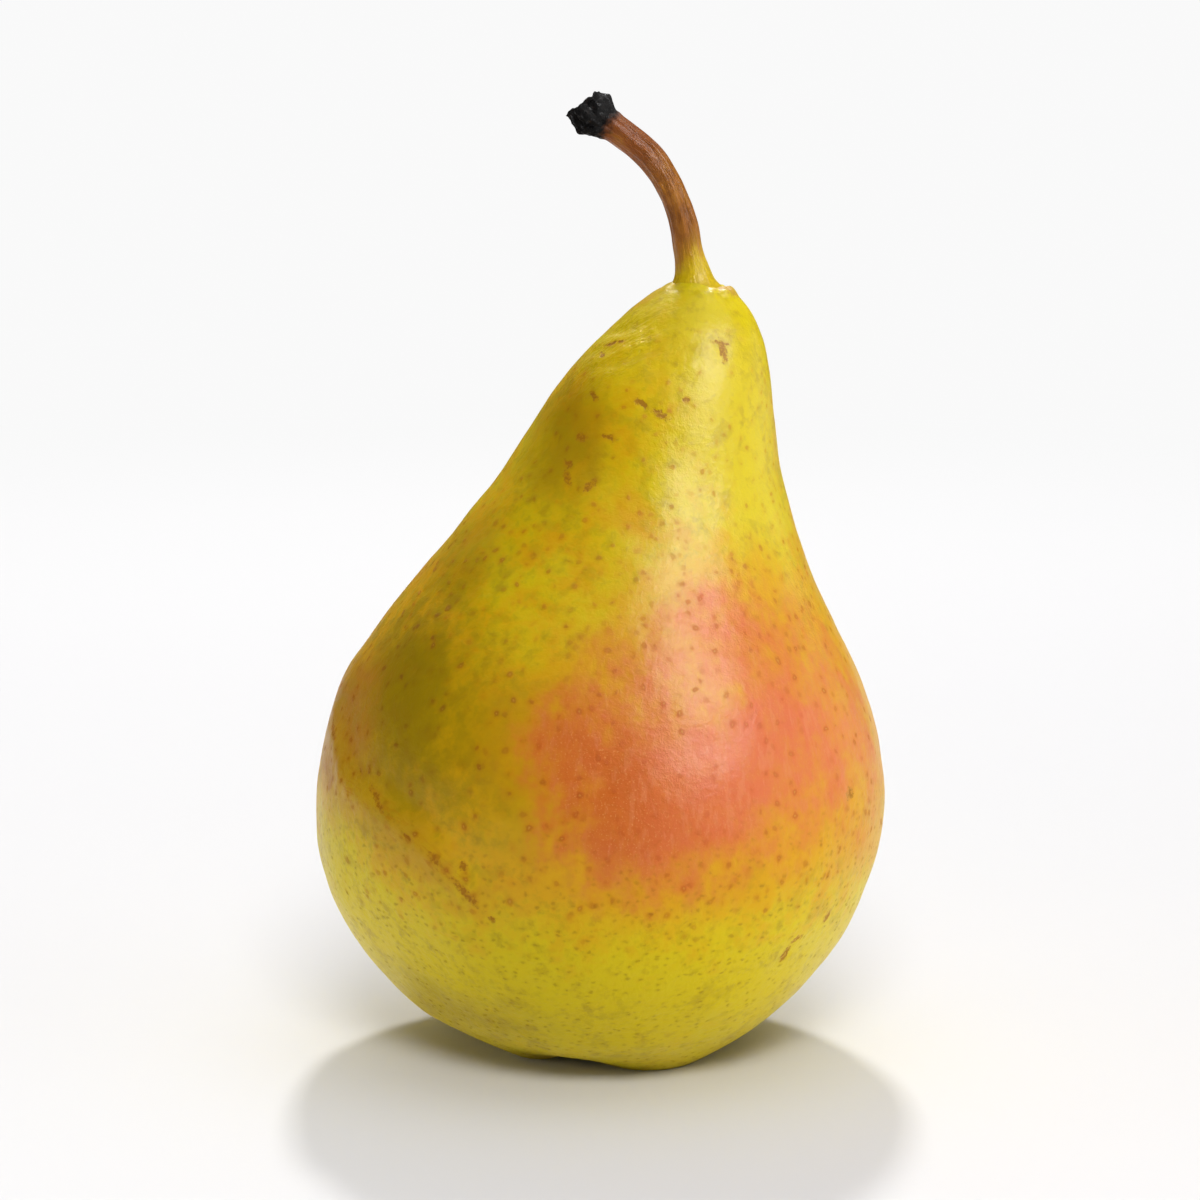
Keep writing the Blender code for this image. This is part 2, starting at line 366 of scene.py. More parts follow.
def skinDetail(points, angle):
    # Height of the skin's small forms along its normal: lumps, the ridge and the hollow above it, shoulder
    # wrinkles, the flesh drawn up the stem's foot, a lip and a crease beside it, dents, folds in the basin;
    # each is a bell exp(-(distance / reach)^2) or a soft step, made uneven by lumps. The run along the ridge,
    # the distance from it and the distance above it are handed on for its colours
    x, y, z = points[..., 0], points[..., 1], points[..., 2]
    height = softStep(z, 1.0, 6.0) * lumpy(points, pear["lumps"])
    gap, way, along = fromLine(points, pear["ridge"])
    above = way @ np.array(pear["hollowSide"]) + 0.35 * lumps(points, 6, 6)
    crest = pear["ridgeHeight"] + 0.08 * lumps(points, 2.4, 12)
    height += crest * np.exp(-(gap / pear["ridgeWidth"]) ** 2) * softStep(z, 22, 27)
    hollow = softStep(above, -0.8, 3.6) * np.exp(-(gap / pear["hollowReach"]) ** 2)
    height -= pear["hollowDepth"] * hollow * softStep(-y, 3, 17) * softStep(-x, 6, 18)

    (middle, level), (wide, tall) = pear["wrinklePlace"], pear["wrinkleReach"]
    shoulder = np.exp(-((x - middle) / wide) ** 2 - ((z - level) / tall) ** 2) * softStep(-y, -1, 4)
    slant = np.stack([x * 0.14 + z * 0.1, y * 0.1, z - 0.35 * x], axis=-1)
    wrinkles = lumps(slant, 1.9, 7) - 0.5 * np.abs(lumps(points, 3.4, 14))
    height += pear["wrinkleHeight"] * shoulder * wrinkles

    foot = np.hypot(x - pear["stemFoot"][0], y) + 60 * softStep(-z, -90, -80)
    collar = pear["collarHeight"] + 0.1 * np.cos(angle)
    height += collar * np.exp(-(np.maximum(foot, pear["collarRadius"]) - pear["collarRadius"]) / 1.3)
    height += 0.08 * lumps(points, 1.8, 13) * np.exp(-((foot - 3.2) / 1.8) ** 2)
    aside = angle - pear["lipToward"]
    lip = np.exp(-(aside / 0.75) ** 2) * np.exp(-((foot - pear["lipRadius"]) / 0.9) ** 2)
    crease = np.exp(-(aside / 0.6) ** 2) * np.exp(-((foot - pear["creaseRadius"]) / 0.6) ** 2)
    height += (pear["lipHeight"] + 0.16 * lumps(points, 1.6, 8)) * lip - pear["creaseDepth"] * crease

    for cx, cy, cz, radius, depth in pear["dents"]:
        apart = (x - cx) ** 2 + (y - cy) ** 2 + (z - cz) ** 2
        height -= depth * np.exp(-apart / radius**2)
    inBasin = np.hypot(x - pear["basinMiddle"], y)
    folds = np.cos(pear["foldCount"] * angle + 1.2 * lumps(points, 7, 9))
    folds *= np.exp(-((inBasin - 5.5) / 2.4) ** 2)
    height += pear["foldHeight"] * softStep(-z, -7, -1) * (inBasin < 14) * folds
    return height, np.stack([along, gap, above], axis=-1)


def makeSkin():
    # Slices of the outline carried round: x = lean + r cos a, y = r sin a, z = height + lobes, then the cheek
    slices, along = outlineRows()
    height, radius, lean = (column[:, None] for column in slices.T)
    radius = np.maximum(radius, 0)
    angle = np.linspace(-math.pi, math.pi, pear["columns"], endpoint=False)[None, :]
    belly = np.exp(-((height - pear["bellyHeight"]) / pear["bellySpread"]) ** 2)
    wave = sum(share * np.cos(count * angle + math.radians(phase)) for count, share, phase in pear["waves"])
    reach = radius * (1 + belly * wave)
    lift = np.where(height < pear["lobeTop"], baseLift(radius, angle), 0.0)
    points = np.stack([lean + reach * np.cos(angle), pear["frontToBack"] * reach * np.sin(angle),
                       height + lift], axis=-1)
    points = flattenCheek(points)
    detail, ridge = skinDetail(points, np.broadcast_to(angle, points.shape[:2]))
    detail = detail * softStep(radius, 0.3, 1.5)
    points = points + outward(points) * detail[..., None]
    points[..., 2] = np.maximum(points[..., 2], 0.0)
    # every piece is moved sideways by as much as brings the skin over its solid
    shift = (points.reshape(-1, 3).max(axis=0) + points.reshape(-1, 3).min(axis=0)) / 2
    low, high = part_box("pear_body")
    shift -= np.array((low + high) / 2) / mm
    shift[2] = 0.0
    # coordinates for the colours: round the fruit on an even cylinder, and down its outline
    down = along[:, None] + 0 * angle
    size = pear["grainRadius"]
    grain = np.stack([size * np.cos(angle) + 0 * down, size * np.sin(angle) + 0 * down, down], axis=-1)
    inner = slice(1, -1)  # the first and last rings are points, and the fans close them
    mesh = closedTubes("skin", [points[inner] - shift], {"grain": grain[inner], "ridge": ridge[inner]})
    return mesh, shift


def skinLook():
    # Waxy skin, laid on in order: ground colour, blush, ridge, dots, scars, the stem's lip and the basin
    look = Look(bpy.data.materials.new("pearSkin"))
    place = look.here()
    z = look.parts(place)[2]
    # places to read the noise at, drawn out or warped, and noise in several sizes in millimetres
    streaks = look.vector("MULTIPLY", look.attribute("grain"), (1.0, 1.0, skin["streakStretch"]))
    loose = look.warped(place, 9.0, 8.0)
    fine = look.warped(look.warped(place, 1.7, 0.9), 0.5, 0.35)
    broad = look.cloud(loose, 6.5, 3.0)
    patchy = look.cloud(fine, 3.2, 4.0)
    mottle = look.cloud(fine, 1.5, 3.0)
    drawn = look.cloud(streaks, 1.5, 4.0)
    grit = look.noise(place, 0.24, 2.0)

    # ground colour: golden, greener at the base, at the neck's right and below the ridge, with soft mottling
    (base, baseShare), (neck, neckShare) = skin["greenBase"], skin["greenNeck"]
    green = look.ramp(z, *base) * baseShare + look.ramp(z, *neck) * neckShare
    for centre, radii, strength in skin["greens"]:
        green = look.blob(loose, centre, radii) * strength + green
    wide, middling, small = skin["greenMottle"]
    green = green + broad * wide + patchy * middling + mottle * small
    ground = look.mix(look.ramp(green, -0.15, 1.1), skin["golden"], skin["green"])
    # lighter and darker patches: the skin's own tones, with painted light on the neck's top and painted shade
    # on the left
    for name, centre, radii, strength in skin["tints"]:
        tint = look.ramp(look.blob(loose, centre, radii) + patchy * 0.14 + mottle * 0.08, 0.05, 0.95)
        ground = look.mix(tint * strength, ground, skin[name])
    shade = look.ramp(look.cloud(loose, 3.8, 4.0) + mottle * 0.5, 0.1, 1.3)
    ground = look.mix(shade * skin["shade"], ground, skin["oliveAndPaintedShade"])

    # blush: overlapping soft blots, ragged by noise and drawn out in streaks down the fruit
    # two blots of negative strength pale the blush where the sheen's highlight falls: a painted highlight
    blots = sum(look.blob(loose, centre, radii) * strength for centre, radii, strength in skin["blots"])
    wide, middling, small, long = skin["blushMottle"]
    raw = blots + broad * wide + patchy * middling + mottle * small + drawn * long
    reach = look.ramp(blots, 0.02, 0.4)
    flush = look.ramp(raw, 0.25, 1.35) * reach
    colour = look.mix(look.ramp(raw, -0.1, 0.95) * reach, ground, skin["orange"])
    colour = look.mix(flush, colour, skin["salmon"])
    deep = look.blob(loose, *skin["deep"]) * look.ramp(raw, 0.2, 1.2)
    colour = look.mix(deep * 0.8, colour, skin["red"])
    pale = look.ramp(look.cloud(streaks, 0.8, 3.0), 0.0, 1.0) * flush
    colour = look.mix(pale * 0.25, colour, skin["pink"])
    speck = look.ramp(grit, 0.58, 0.72) * look.ramp(raw, 0.3, 1.0) * reach
    colour = look.mix(speck * (deep * 0.35 + 0.12), colour, skin["speck"])

    # the ridge: a wide scuffed band, thinner dark scratches along it
    along, gap, above = look.parts(look.attribute("ridge"))
    band = look.ramp(gap + patchy * 1.6 + above * 0.3, skin["bandWidth"], 0.0) * look.ramp(z, 22, 30)
    colour = look.mix(band * skin["bandShare"], colour, skin["tan"])
    lines = look.node("ShaderNodeCombineXYZ", None, {"X": along * 0.3, "Y": gap, "Z": above})
    scratch = look.ramp(look.cloud(lines, 0.6, 3.0), 0.2, 0.9) * look.ramp(gap, 2.6, 0.1)
    colour = look.mix(scratch * look.ramp(along, 40, 34) * skin["scratchShare"], colour, skin["rust"])

    # lenticels: brown spots, some round a cork speck, in soft halos; some of them are faint
    height = 0
    for dots in skin["dots"]:
        spread = look.vector("MULTIPLY", fine, (1.0, 1.0, dots["squash"]))
        sockets = {"Vector": spread, "Scale": 1 / dots["cell"], "Randomness": 1.0}
        away = look.node("ShaderNodeTexVoronoi", None, sockets)
        own = look.parts(Wire(look.tree, away.socket.node.outputs["Color"]))[0]
        away = away * dots["cell"]
        shown = look.ramp(z, *dots["from"]) * look.ramp(z, *dots["to"])
        shown = shown * look.ramp(own, 0.0, 0.8, 0.4, 1.0) * (1 - flush * 0.45)
        ring = look.ramp(away, dots["size"], dots["size"] * 0.35) * shown
        halo = look.ramp(away, dots["halo"], dots["size"] * 0.6) * shown
        core = look.ramp(away, dots["size"] * 0.4, dots["size"] * 0.12) * look.ramp(own, 0.3, 0.7) * shown
        colour = look.tinted(halo * skin["haloShare"], colour, dots["haloTint"])
        colour = look.tinted(ring * dots["share"], colour, dots["tint"])
        colour = look.mix(core * dots["coreShare"], colour, skin["core"])
        height = ring * dots["lift"] + height

    # scars: blots stretched and turned, broken up into crumbs, in a fainter stain
    crumbs = look.cloud(place, 0.4, 3.0)
    marked = None
    for centre, long, wide, turn in skin["scars"]:
        across = look.turned(look.vector("SUBTRACT", fine, centre), math.radians(-turn))
        across = look.vector("DIVIDE", across, (long, skin["scarDepth"], wide))
        sized = look.vector("LENGTH", across, output="Value")
        mark = look.ramp(sized, 1.7, 0.2)
        marked = marked.most(mark) if marked else mark
    rust = look.ramp(marked + crumbs * 0.5, 0.35, 1.1)
    colour = look.mix(look.ramp(marked, 0.0, 0.9) * skin["stainShare"], colour, skin["rust"])
    colour = look.mix(rust * skin["scarShare"], colour, skin["scar"])

    # russet lip at the stem's foot, and dry brown skin deep in the basin
    lip = look.blob(fine, *skin["lip"])
    colour = look.mix(look.ramp(lip + crumbs * 0.15, 0.3, 0.7) * 0.7, colour, skin["russet"])
    basin = look.vector("LENGTH", look.vector("SUBTRACT", fine, skin["basinPlace"]), output="Value")
    colour = look.mix(look.ramp(basin, *skin["basinReach"]) * 0.8, colour, skin["basin"])

    # the dots and scars are duller than the waxy skin; fine wrinkles, slanting and deeper on the shoulder
    rough = look.noise(place, 0.7, 3.0) * 0.2 + skin["roughness"] + rust * 0.2 + height * 14
    wrinkles = look.cloud(fine, 0.8, 4.0) * 0.016 + look.cloud(loose, 2.8, 2.0) * 0.018
    slant = look.vector("MULTIPLY", look.turned(fine, skin["wrinkleSlant"]), (0.3, 1.0, 1.0))
    shoulder = look.ramp(look.blob(place, *skin["shoulder"]), 0.2, 0.8)
    wrinkles = wrinkles + look.cloud(slant, 0.6, 3.0) * shoulder * skin["wrinkleHeight"]
    return look.finish(height + wrinkles + grit * 0.02 - rust * 0.04, 0.8, Base_Color=colour, Roughness=rough,
                       Subsurface_Weight=0.12, Subsurface_Radius=(1.0, 0.45, 0.12), Subsurface_Scale=2.2 * mm,
                       Specular_IOR_Level=skin["shine"], Coat_Weight=0.04, Coat_Roughness=0.25)


skin = {
    # the first colour is a pale yellow, painted on the neck's top as light from above
    "light": (0.8, 0.56, 0.006), "golden": (0.68, 0.365, 0.002), "green": (0.68, 0.53, 0.002),
    # on the next line the olive is partly the skin's own tone and partly painted shade, and the dark
    # green-brown at its end is painted shade
    "oliveAndPaintedShade": (0.4, 0.27, 0.001), "ochre": (0.42, 0.23, 0.002), "paintedShade": (0.27, 0.165, 0.001),
    "tan": (0.52, 0.3, 0.012), "bronze": (0.48, 0.215, 0.012), "orange": (0.67, 0.27, 0.01),
    "salmon": (0.68, 0.15, 0.045), "red": (0.55, 0.12, 0.0066), "pink": (0.76, 0.28, 0.12),
    "speck": (0.8, 0.4, 0.12), "core": (0.66, 0.38, 0.06), "rust": (0.48, 0.2, 0.001),
    "scar": (0.33, 0.12, 0.001), "russet": (0.5, 0.26, 0.05), "basin": (0.2, 0.11, 0.03),
    # green by height, from where to where and how strong, at the base and up the neck
    "greenBase": ((31, 13), 1.25), "greenNeck": ((55, 72), 0.4),
    # mottling: shares of the broad, middling and small patches, and of the streaks in the blush
    "greenMottle": (0.2, 0.23, 0.14), "blushMottle": (0.13, 0.12, 0.08, 0.1), "shade": 0.35,
    # the reddest place, the stem's lip and the wrinkled shoulder: centre, reach
    "deep": ((-3.5, -33, 39), (13, 14, 13)), "lip": ((14.6, -1.3, 94.4), (2.6, 2.2, 1.6)),
    "shoulder": ((0.5, -6.0, 87.5), (9.0, 8.0, 6.5)), "wrinkleSlant": 0.5, "wrinkleHeight": 0.06,
    # the basin's middle, and the distances from it over which its dry skin fades in
    "basinPlace": (1.8, 0.0, 4.4), "basinReach": (9.5, 4.0),
    # how strongly the ridge's marks, the scars and the halos are coloured
    "bandWidth": 5.0, "bandShare": 0.7, "scratchShare": 0.6,
    "scarDepth": 3.0, "scarShare": 0.8, "stainShare": 0.5, "haloShare": 0.6,
    "streakStretch": 0.22, "roughness": 0.27, "shine": 0.16,
    # greener places: centre, reach along x, y and z, strength
    "greens": [
        ((-8, -22, 61), (8, 12, 8), 0.3), ((-3, -24, 60), (12, 12, 6), 0.2),
        ((0, 26, 66), (24, 18, 20), 0.5), ((-22, 20, 32), (18, 16, 16), 0.6),
        ((24, 20, 44), (12, 16, 12), 0.45), ((2, 32, 26), (14, 12, 8), 0.4),
        ((15, -9, 84), (7, 12, 16), 1.0), ((14, -4, 95), (9, 9, 4), 0.7),
        ((-31, -14, 24), (11, 20, 13), 1.0), ((-14, -22, 54), (9, 12, 12), 0.2),
        ((-22, -20, 44), (9, 14, 9), 0.2), ((20, -10, 70), (6, 12, 9), 0.6), ((2, -5, 89), (6, 8, 5), 0.5),
    ],
    # darker and lighter places of the ground: which colour, centre, reach, strength; the darkest are painted
    # shade
    "tints": [
        # the olive patches are partly the skin's own olive and partly painted shade on the shaded left
        ("oliveAndPaintedShade", (-21, -19, 47), (10, 15, 12), 0.9), ("ochre", (-3, -10, 78), (5, 9, 9), 0.85),
        ("oliveAndPaintedShade", (-6, -8, 74), (5, 10, 8), 0.5), ("oliveAndPaintedShade", (-9, -31, 37), (9, 12, 7), 0.45),
        # the pale patch at the neck's top is painted light from above
        ("light", (4, -11, 88), (7, 8, 8), 0.5), ("paintedShade", (-23, -25, 38), (9, 10, 6), 0.5),
        ("paintedShade", (-20, -20, 9), (14, 14, 6), 0.4), ("ochre", (-11, -30, 46), (9, 12, 9), 0.6),
        ("paintedShade", (-25, -17, 49), (11, 14, 11), 0.7), ("paintedShade", (-17, -12, 64), (7, 10, 8), 0.45),
        ("bronze", (-33, -13, 44), (7, 14, 10), 1.25),
    ],
    # blush: centre, reach, strength; the two of negative strength pale the blush under the sheen, a painted
    # highlight
    "blots": [
        ((9, -30, 41.5), (14, 16, 10.5), 0.95), ((-2, -33, 44), (8, 14, 9), 0.37),
        ((22, -24, 45.5), (12, 16, 12), 0.74), ((14.5, -20, 57.5), (7, 12, 7), 0.75),
        ((5, -27, 54), (7, 12, 5), 0.35), ((31, -12, 41), (9, 13, 14), 0.5),
        ((-4, -31, 49), (5, 10, 5), 0.2), ((6, -34, 31.5), (12, 14, 8), 0.55),
        ((14, -25, 53), (6, 10, 6), -0.22), ((11, -28, 49), (5, 8, 6), -0.25),
    ],
    # lenticels: spacing of their centres in the flesh, size, halo, and the heights where they fade in and out
    "dots": [
        {"cell": 1.95, "size": 0.54, "halo": 1.05, "from": (14, 30), "to": (76, 62), "share": 0.85,
         "lift": 0.02, "tint": (0.74, 0.5, 0.1), "haloTint": (0.92, 0.78, 0.3),
         "coreShare": 0.45, "squash": 1.0},
        {"cell": 1.2, "size": 0.36, "halo": 0.62, "from": (0, 1), "to": (44, 22), "share": 0.7,
         "lift": 0.015, "tint": (0.7, 0.62, 0.1), "haloTint": (0.86, 0.82, 0.3),
         "coreShare": 0.0, "squash": 1.35},
        {"cell": 1.75, "size": 0.44, "halo": 0.95, "from": (48, 60), "to": (96, 82), "share": 0.75,
         "lift": 0.02, "tint": (0.84, 0.59, 0.1), "haloTint": (0.92, 0.82, 0.3),
         "coreShare": 0.2, "squash": 1.0},
    ],
    # scars: centre, half length, half width, turn from level in degrees
    "scars": [
        ((14.7, -9.0, 88.0), 1.3, 0.42, 80), ((14.4, -8.9, 88.9), 1.05, 0.24, 8),
        ((5.0, -13.3, 82.1), 1.0, 0.35, 32), ((7.1, -13.2, 81.0), 1.1, 0.45, 34),
        ((10.2, -12.6, 82.6), 0.5, 0.4, 20), ((-2.2, -11.9, 78.0), 0.7, 0.6, 0),
        ((0.9, -13.3, 78.1), 1.1, 0.32, 5), ((-3.7, -12.8, 74.9), 0.6, 0.4, 0),
        ((-3.8, -13.3, 73.4), 0.9, 0.4, 80), ((-1.2, -15.5, 72.6), 1.0, 0.4, -35),
        ((-0.6, -10.0, 82.6), 0.6, 0.35, 70), ((29.9, -17.3, 35.7), 0.55, 0.7, 0),
        ((1.4, -5.4, 88.5), 0.8, 0.18, -20), ((2.5, -6.0, 88.9), 0.4, 0.16, -8),
        ((0.3, -6.0, 87.3), 0.4, 0.14, -30), ((22.1, -21.8, 17.2), 1.2, 0.4, -60),
        ((23.4, -20.5, 18.9), 0.8, 0.3, -30), ((27.3, -17.8, 20.8), 0.9, 0.3, -60),
        ((-15.7, -30.7, 27.1), 2.2, 0.5, 42), ((-26.4, -22.4, 36.3), 1.7, 0.4, 58),
        ((-15.9, -30.8, 30.2), 0.6, 0.5, 0), ((-32.4, -8.0, 41.5), 1.2, 0.35, 75),
        ((-19.2, -28.6, 30.6), 0.9, 0.4, 40), ((-12.5, -31.6, 24.2), 0.5, 0.3, 20),
        ((-22.5, -26.0, 32.6), 0.6, 0.25, 40), ((-28.5, -20.0, 38.8), 0.6, 0.25, 70),
        ((-8.0, 31.0, 48.0), 1.5, 0.4, 30), ((-6.2, 31.0, 46.6), 0.7, 0.3, 10),
        ((16.0, 21.0, 62.0), 0.9, 0.35, -40), ((5.0, 33.5, 28.0), 0.8, 0.4, 60),
        ((-15.0, 16.0, 70.0), 1.1, 0.3, 75), ((20.0, 27.0, 34.0), 1.3, 0.35, -20),
    ],
}


# The stem

stem = {
    # sideways, depth, height and radius, from inside the flesh to the dried end
    "line": [
        (11.5, 0.0, 93.2, 3.9), (11.5, 0.0, 94.5, 3.6), (11.45, 0.0, 95.3, 2.85), (11.35, 0.0, 96.3, 2.3),
        (11.1, -0.1, 97.6, 2.0), (10.7, -0.2, 99.5, 1.8), (10.3, -0.4, 102.0, 1.72),
        (9.5, -0.6, 104.6, 1.62), (8.4, -0.8, 107.1, 1.6), (6.9, -0.9, 109.6, 1.65),
        (5.6, -0.8, 111.1, 1.7), (4.1, -0.6, 112.3, 1.72), (2.5, -0.4, 113.5, 1.76),
        (1.3, -0.2, 114.3, 1.9), (0.1, -0.1, 115.1, 2.45), (-0.9, 0.0, 115.9, 2.65),
        (-1.9, 0.1, 117.1, 2.25),
    ],
    "rows": 300, "columns": 120, "endRows": 26,
    # ridges, the black end's knobs and its torn rim: height, size, seed; the knobs fade in over lengths
    # counted back from the dried end, the bark over lengths counted up from the foot
    "ridges": [(0.075, 1.5, 21), (0.03, 0.6, 22)],
    "knobs": [(0.24, 2.4, 23), (0.1, 1.2, 24), (0.025, 0.6, 25)], "knobFrom": (5.2, 3.4),
    "tears": [(0.3, 1.7, 26), (0.1, 0.8, 27)], "tearReach": 0.8, "endHollow": 0.6,
    "barkRadius": 1.7, "barkStretch": 0.16, "barkTwist": 0.03, "barkFrom": (3.2, 7.0),
}


def makeStem(shift):
    # Rings carried square to a curved line, middle + radius * (side cos a + up sin a), with ridges along them
    # and a broken, knobbly end
    stations = np.array(stem["line"])
    knots = np.concatenate([[0.0], np.cumsum(np.linalg.norm(np.diff(stations[:, :3], axis=0), axis=1))])
    length = knots[-1]
    along = np.linspace(0, length, stem["rows"])
    line = naturalCubic(knots, stations, along)
    middle, radius = line[:, :3], line[:, 3:4]
    way = np.gradient(middle, axis=0)
    way /= np.linalg.norm(way, axis=1, keepdims=True)
    side = np.cross(way, (0.0, 1.0, 0.0))
    side /= np.linalg.norm(side, axis=1, keepdims=True)
    up = np.cross(side, way)
    angle = np.linspace(0, 2 * math.pi, stem["columns"], endpoint=False)[None, :]
    spoke = side[:, None, :] * np.cos(angle)[..., None] + up[:, None, :] * np.sin(angle)[..., None]
    left = length - along[:, None]
    knob = softStep(-left, -stem["knobFrom"][0], -stem["knobFrom"][1])
    twist = angle + stem["barkTwist"] * along[:, None]
    around = stem["barkRadius"] * np.stack([np.cos(twist), np.sin(twist)], axis=-1)
    bark = np.concatenate([around, (along[:, None] + 0 * angle)[..., None]], axis=-1)
    ridges = lumpy(bark * (1.0, 1.0, stem["barkStretch"]), stem["ridges"])
    woody = softStep(along[:, None], *stem["barkFrom"])
    points = middle[:, None, :] + spoke * (radius[..., None] + (ridges * woody)[..., None])
    points = points + spoke * (knob * lumpy(points, stem["knobs"]))[..., None]
    # the broken face: rings that close in on the line's end, hollow in the middle and torn at the rim
    inward = np.linspace(1, 0.02, stem["endRows"])[1:, None]
    rim = points[-1][None] - middle[-1]
    face = middle[-1] + rim * inward[..., None]
    hollow = lumpy(face, stem["tears"]) - stem["endHollow"] * (1 - inward**2)
    face = face + way[-1] * hollow[..., None]
    tear = lumpy(points[-1], stem["tears"])
    points = points + way[:, None, :] * (tear[None, :] * np.exp(-left / stem["tearReach"]))[..., None]
    points = np.concatenate([points, face])
    tail = np.full((stem["endRows"] - 1, stem["columns"]), length)
    reach = np.concatenate([along[:, None] + 0 * angle, tail])
    deeper = length + stem["barkRadius"] * (1 - inward) + 0 * angle
    endBark = np.concatenate([around[-1] * inward[..., None], deeper[..., None]], axis=-1)
    bark = np.concatenate([bark, endBark])
    return closedTubes("stemWood", [points - shift], {"bark": bark, "along": reach / length})


def stemLook():
    # Streaky bark from the green foot through brown and red to the black dried end
    look = Look(bpy.data.materials.new("stemBark"))
    place = look.here()
    bark = look.attribute("bark")
    along = look.attribute("along", "Fac")
    x = look.parts(place)[0]
    lengthwise = look.vector("MULTIPLY", bark, (1.0, 1.0, stem["barkStretch"]))
    fibres = look.cloud(lengthwise, 0.75, 4.0)
    threads = look.cloud(lengthwise, 0.3, 3.0)
    wide = look.cloud(bark, 2.6, 3.0)
    colour = look.mix(look.ramp(fibres * 0.35 + wide * 0.5, -1.2, 0.9), wood["brown"], wood["amber"])
    colour = look.mix(look.ramp(along, *wood["redFrom"]) * 0.75, colour, wood["red"])
    colour = look.mix(look.ramp(wide + fibres * 0.4, 0.2, 1.3) * 0.35, colour, wood["gold"])
    colour = look.mix(look.ramp(threads, -0.1, -1.0) * 0.16, colour, wood["dark"])
    colour = look.mix(look.ramp(threads, 0.5, 1.0) * 0.2, colour, wood["fleck"])
    # the green of the foot climbs further on its right
    foot = along + wide * 0.015 + fibres * 0.02 + look.ramp(x, 11.8, 9.2) * 0.07
    colour = look.mix(look.ramp(foot, *wood["honeyTo"]) * 0.7, colour, wood["honey"])
    colour = look.mix(look.ramp(foot, *wood["footTo"]), colour, wood["foot"])
    # the dried end: dull black with small glints
    black = look.ramp(along + wide * 0.012 + look.cloud(bark, 0.8, 3.0) * 0.01, *wood["blackFrom"])
    colour = look.mix(black, colour, wood["black"])
    crust = look.ramp(look.cloud(place, 0.6, 3.0), 0.5, 1.0)
    colour = look.mix(black * crust * 0.2, colour, wood["crust"])
    glint = look.ramp(look.cloud(place, 0.5, 2.0), 0.35, 0.75)
    rough = look.noise(bark, 0.6, 3.0) * 0.25 + 0.2 + black * (0.5 - glint * 0.55)
    height = fibres * 0.05 + threads * 0.02 + look.cloud(place, 0.4, 3.0) * (black * 0.025 + 0.006)
    return look.finish(height, 0.9, Base_Color=colour, Roughness=rough, Specular_IOR_Level=0.16)


wood = {
    "brown": (0.17, 0.05, 0.005), "amber": (0.35, 0.12, 0.01), "gold": (0.42, 0.18, 0.012),
    "red": (0.22, 0.055, 0.012), "foot": (0.62, 0.43, 0.006), "honey": (0.48, 0.24, 0.01),
    "fleck": (0.5, 0.24, 0.08), "dark": (0.06, 0.02, 0.004), "black": (0.0015, 0.001, 0.001),
    "crust": (0.03, 0.014, 0.008),
    # where along the stem, from 0 to 1, each colour fades in
    "redFrom": (0.5, 0.75), "blackFrom": (0.815, 0.868), "honeyTo": (0.36, 0.2), "footTo": (0.26, 0.15),
}


# The dried flower under the fruit

calyx = {
    # sepals: direction of the first in degrees, lengths, and how they lie below the basin's wall, whose
    # middle stands lean to the right and floor above the ground
    "first": 14, "lengths": [4.9, 4.3, 5.1, 4.0, 4.6], "root": 2.0, "halfWidth": 0.95, "tip": 0.12,
    "gap": 0.75, "droop": 0.5, "cup": 0.15, "rows": 34, "columns": 15, "thickness": 0.3,
    "floor": 5.2, "lean": 1.7,
    "filaments": 26, "filamentRings": 9, "filamentSides": 6, "filamentLength": 1.5, "filamentRadius": 0.11,
    "domeRadius": 1.15, "domeFlatness": 0.62, "domeRows": 24, "domeColumns": 48,
    # colours of the dried pieces: dark, pale, size of the mottling
    "sepalLook": ((0.05, 0.026, 0.012), (0.2, 0.12, 0.055), 0.9),
    "stamenLook": ((0.03, 0.018, 0.01), (0.13, 0.08, 0.04), 0.6),
}
goldenAngle = 2.399963  # radians between one filament and the next


def basinWall(reach, angle):
    # Height of the basin's wall above the ground, at a distance and direction from its axis
    slices, _ = outlineRows()
    lowest = int(np.argmin(slices[:, 0]))
    inner = slices[lowest:][::-1]
    return np.interp(reach, inner[:, 1], inner[:, 0]) + baseLift(reach, angle)


def makeSepal(number, shift):
    # A pointed strip along the basin's wall: reach = root + length u, width by sqrt(1 - u^2), cupped, curled
    # and wrinkled; its upper and lower faces are one closed ring of columns
    u = np.linspace(0, 1, calyx["rows"])[:, None]
    v = np.linspace(-1, 1, calyx["columns"])[None, :]
    heading = math.radians(calyx["first"] + number * 360 / len(calyx["lengths"]))
    half = calyx["tip"] + (calyx["halfWidth"] - calyx["tip"]) * np.sqrt(1 - u**2)
    forward = calyx["root"] + calyx["lengths"][number] * u + 0 * v
    sideways = half * v
    reach = np.hypot(forward, sideways)
    angle = heading + np.arctan2(sideways, forward)
    droop = calyx["gap"] + calyx["droop"] * u**2 - calyx["cup"] * v**2
    z = basinWall(reach, angle) - droop
    leaf = np.stack([calyx["lean"] + reach * np.cos(angle), reach * np.sin(angle), z], axis=-1)
    crease = 0.05 * lumps(leaf, 1.1, 31 + number) + 0.06 * np.cos(v * 7) * (1 - u)
    thick = calyx["thickness"] / 2 * (0.35 + 0.65 * np.sqrt(1 - 0.9 * v**2)) * (1 - 0.6 * u)
    upper, lower = leaf.copy(), leaf.copy()
    upper[..., 2] += crease + thick
    lower[..., 2] += crease - thick
    ring = np.concatenate([upper, lower[:, ::-1]], axis=1)
    return closedTubes(f"sepalLeaf{number + 1}", [ring - shift])


